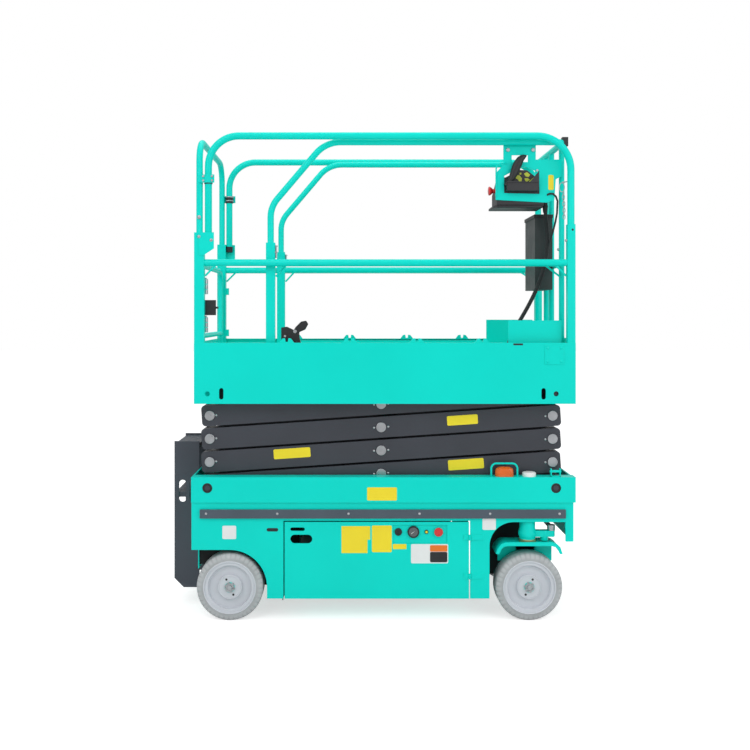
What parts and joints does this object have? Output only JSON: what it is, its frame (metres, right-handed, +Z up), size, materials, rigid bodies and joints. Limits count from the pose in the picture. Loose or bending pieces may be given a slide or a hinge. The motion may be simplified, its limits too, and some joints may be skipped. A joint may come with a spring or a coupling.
{
  "type": "slab scissor lift",
  "caption": "Self-propelled electric scissor lift with stacked arms, a railed platform with a sliding extension deck, swing-out side doors and a rear ladder.",
  "frame": {"origin": "on the ground below the middle of the machine's box", "axes": "+X towards the steered front end, +Y to the far side, +Z up"},
  "size_m": [1.878, 0.768, 2.2365],
  "materials": {
    "teal_paint": "satin",
    "charcoal_paint": "satin",
    "tyre_grey": "matt",
    "rim_grey": "satin",
    "strip_rubber": "matt",
    "black_plastic": "matt",
    "orange_lens": "gloss",
    "steel": "brushed",
    "chromed_rod": "polished",
    "battery_case": "matt",
    "floor_plate": "satin"
  },
  "bodies": {
    "chassis": {"chassis_frame": "teal_paint", "side_skirt_near": "teal_paint", "side_skirt_far": "teal_paint", "rub_strips": "strip_rubber", "ladder": "charcoal_paint", "rear_axle": "teal_paint", "beacon": "orange_lens", "beacon_guard": "teal_paint"},
    "door_near": {"door_near": "teal_paint", "ground_controls": "black_plastic", "power_unit": "steel"},
    "door_far": {"door_far": "teal_paint", "battery_pack": "battery_case"},
    "knuckle_near": {"knuckle_near": "teal_paint"},
    "knuckle_far": {"knuckle_far": "teal_paint"},
    "tie_rod": {"tie_rod": "steel"},
    "wheel_rear_near": {"tyre_rear_near": "tyre_grey", "rim_rear_near": "rim_grey"},
    "wheel_rear_far": {"tyre_rear_far": "tyre_grey", "rim_rear_far": "rim_grey"},
    "wheel_front_near": {"tyre_front_near": "tyre_grey", "rim_front_near": "rim_grey"},
    "wheel_front_far": {"tyre_front_far": "tyre_grey", "rim_front_far": "rim_grey"},
    "outer_arms_1": {"outer_arms_1": "charcoal_paint"},
    "inner_arms_1": {"inner_arms_1": "charcoal_paint"},
    "outer_arms_2": {"outer_arms_2": "charcoal_paint"},
    "inner_arms_2": {"inner_arms_2": "charcoal_paint"},
    "outer_arms_3": {"outer_arms_3": "charcoal_paint"},
    "inner_arms_3": {"inner_arms_3": "charcoal_paint"},
    "outer_arms_4": {"outer_arms_4": "charcoal_paint"},
    "inner_arms_4": {"inner_arms_4": "charcoal_paint"},
    "cylinder_barrel": {"lift_cylinder_barrel": "charcoal_paint"},
    "cylinder_rod": {"lift_cylinder_rod": "chromed_rod"},
    "platform": {"platform_deck": "teal_paint", "guard_rail_near": "teal_paint", "guard_rail_far": "teal_paint", "entry_frame": "teal_paint"},
    "entry_gate": {"entry_gate": "teal_paint"},
    "extension": {"extension_deck": "floor_plate", "extension_rails": "teal_paint", "control_box": "teal_paint", "operator_controls": "black_plastic", "document_box": "black_plastic", "conduit": "black_plastic", "deck_lock": "black_plastic"}
  },
  "joints": [
    {"name": "lift", "type": "hinge", "parent": "chassis", "child": "outer_arms_1", "pos_m": [-0.744, 0, 0.607], "axis": [0, -1, 0], "range_deg": [0, 52]},
    {"name": "stage_1_middle", "type": "hinge", "parent": "outer_arms_1", "child": "inner_arms_1", "pos_m": [0.05268, 0, 0.66087], "axis": [0, -1, 0], "range_deg": [-104, 0]},
    {"name": "stage_2_end", "type": "hinge", "parent": "inner_arms_1", "child": "outer_arms_2", "pos_m": [-0.744, 0, 0.71475], "axis": [0, -1, 0], "range_deg": [0, 104]},
    {"name": "stage_2_middle", "type": "hinge", "parent": "outer_arms_2", "child": "inner_arms_2", "pos_m": [0.05268, 0, 0.76863], "axis": [0, -1, 0], "range_deg": [-104, 0]},
    {"name": "stage_3_end", "type": "hinge", "parent": "inner_arms_2", "child": "outer_arms_3", "pos_m": [-0.744, 0, 0.8225], "axis": [0, -1, 0], "range_deg": [0, 104]},
    {"name": "stage_3_middle", "type": "hinge", "parent": "outer_arms_3", "child": "inner_arms_3", "pos_m": [0.05268, 0, 0.87638], "axis": [0, -1, 0], "range_deg": [-104, 0]},
    {"name": "stage_4_end", "type": "hinge", "parent": "inner_arms_3", "child": "outer_arms_4", "pos_m": [-0.744, 0, 0.93025], "axis": [0, -1, 0], "range_deg": [0, 104]},
    {"name": "stage_4_middle", "type": "hinge", "parent": "outer_arms_4", "child": "inner_arms_4", "pos_m": [0.05268, 0, 0.98413], "axis": [0, -1, 0], "range_deg": [-104, 0]},
    {"name": "platform_level", "type": "hinge", "parent": "inner_arms_4", "child": "platform", "pos_m": [-0.744, 0, 1.038], "axis": [0, -1, 0], "range_deg": [0, 52]},
    {"name": "cylinder_pivot", "type": "hinge", "parent": "inner_arms_2", "child": "cylinder_barrel", "pos_m": [0.75109, 0, 0.7214], "axis": [0, -1, 0], "range_deg": [-13.19, 1]},
    {"name": "cylinder_stroke", "type": "slide", "parent": "cylinder_barrel", "child": "cylinder_rod", "axis": [-0.9897, 0, 0.1433], "range_m": [0, 1.1913]},
    {"name": "extension_slide", "type": "slide", "parent": "platform", "child": "extension", "axis": [1, 0, 0], "range_m": [0, 0.9]},
    {"name": "gate_swing", "type": "hinge", "parent": "platform", "child": "entry_gate", "pos_m": [-0.757, -0.3317, 1.3], "axis": [0, 0, -1], "range_deg": [0, 75]},
    {"name": "door_near_swing", "type": "hinge", "parent": "chassis", "child": "door_near", "pos_m": [0.455, -0.378, 0.28], "axis": [0, 0, 1], "range_deg": [0, 95]},
    {"name": "door_far_swing", "type": "hinge", "parent": "chassis", "child": "door_far", "pos_m": [0.455, 0.378, 0.28], "axis": [0, 0, -1], "range_deg": [0, 95]},
    {"name": "steer", "type": "hinge", "parent": "chassis", "child": "knuckle_near", "pos_m": [0.728, -0.325, 0.4], "axis": [0, 0, 1], "range_deg": [-60, 60]},
    {"name": "steer_far", "type": "hinge", "parent": "chassis", "child": "knuckle_far", "pos_m": [0.728, 0.325, 0.4], "axis": [0, 0, 1], "range_deg": [-60, 60]},
    {"name": "tie_rod_pin", "type": "hinge", "parent": "knuckle_near", "child": "tie_rod", "pos_m": [0.838, -0.325, 0.4], "axis": [0, 0, 1], "range_deg": [-60, 60]},
    {"name": "wheel_rear_near", "type": "hinge", "parent": "chassis", "child": "wheel_rear_near", "pos_m": [-0.642, -0.325, 0.1525], "axis": [0, 1, 0], "continuous": true},
    {"name": "wheel_rear_far", "type": "hinge", "parent": "chassis", "child": "wheel_rear_far", "pos_m": [-0.642, 0.325, 0.1525], "axis": [0, 1, 0], "continuous": true},
    {"name": "wheel_front_near", "type": "hinge", "parent": "knuckle_near", "child": "wheel_front_near", "pos_m": [0.728, -0.325, 0.1525], "axis": [0, 1, 0], "continuous": true},
    {"name": "wheel_front_far", "type": "hinge", "parent": "knuckle_far", "child": "wheel_front_far", "pos_m": [0.728, 0.325, 0.1525], "axis": [0, 1, 0], "continuous": true}
  ],
  "couplings": [
    {"joint": "stage_1_middle", "follows": "lift", "ratio": -2},
    {"joint": "stage_2_end", "follows": "lift", "ratio": 2},
    {"joint": "stage_2_middle", "follows": "lift", "ratio": -2},
    {"joint": "stage_3_end", "follows": "lift", "ratio": 2},
    {"joint": "stage_3_middle", "follows": "lift", "ratio": -2},
    {"joint": "stage_4_end", "follows": "lift", "ratio": 2},
    {"joint": "stage_4_middle", "follows": "lift", "ratio": -2},
    {"joint": "platform_level", "follows": "lift", "ratio": 1},
    {"joint": "cylinder_pivot", "follows": "lift", "ratio": -0.23447},
    {"joint": "cylinder_stroke", "follows": "lift", "m_per_rad": 1.3121},
    {"joint": "steer_far", "follows": "steer", "ratio": 1},
    {"joint": "tie_rod_pin", "follows": "steer", "ratio": -1}
  ]
}
